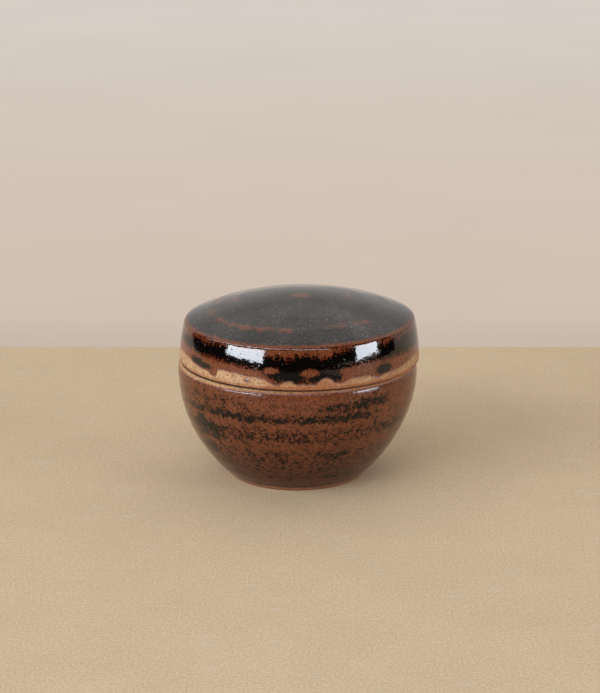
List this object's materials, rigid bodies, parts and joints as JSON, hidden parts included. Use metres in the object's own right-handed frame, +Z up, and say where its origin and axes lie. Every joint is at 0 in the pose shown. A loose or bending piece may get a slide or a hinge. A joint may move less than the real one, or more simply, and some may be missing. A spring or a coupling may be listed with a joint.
{
  "type": "onggi jar",
  "caption": "Small round covered jar of dark iron-glazed stoneware: a flared bowl on a flat foot and a shallow domed lid with a crisp ridge and bare clay edges, which lifts straight off.",
  "frame": {"origin": "middle of the flat foot, on the surface that the jar stands on", "axes": "+Z up along the bowl's axis; +X is the right-hand side in the view the jar was modelled from, the side to which the closed lid sits within its play"},
  "size_m": [0.1263, 0.1256, 0.0973],
  "materials": {
    "bowl_glaze": "glossy rust-brown iron glaze with fine black mottling over tan stoneware; rim, ledge and foot bare",
    "lid_glaze": "glossy black iron glaze that breaks rust-brown on edges, over tan stoneware; lower edge, seat and flange bare"
  },
  "bodies": {
    "bowl": {"bowl": "bowl_glaze"},
    "lid": {"lid": "lid_glaze"}
  },
  "joints": [
    {"name": "lid_lift", "type": "slide", "parent": "bowl", "child": "lid", "axis": [0, 0, 1], "range_m": [0, 0.08]}
  ]
}
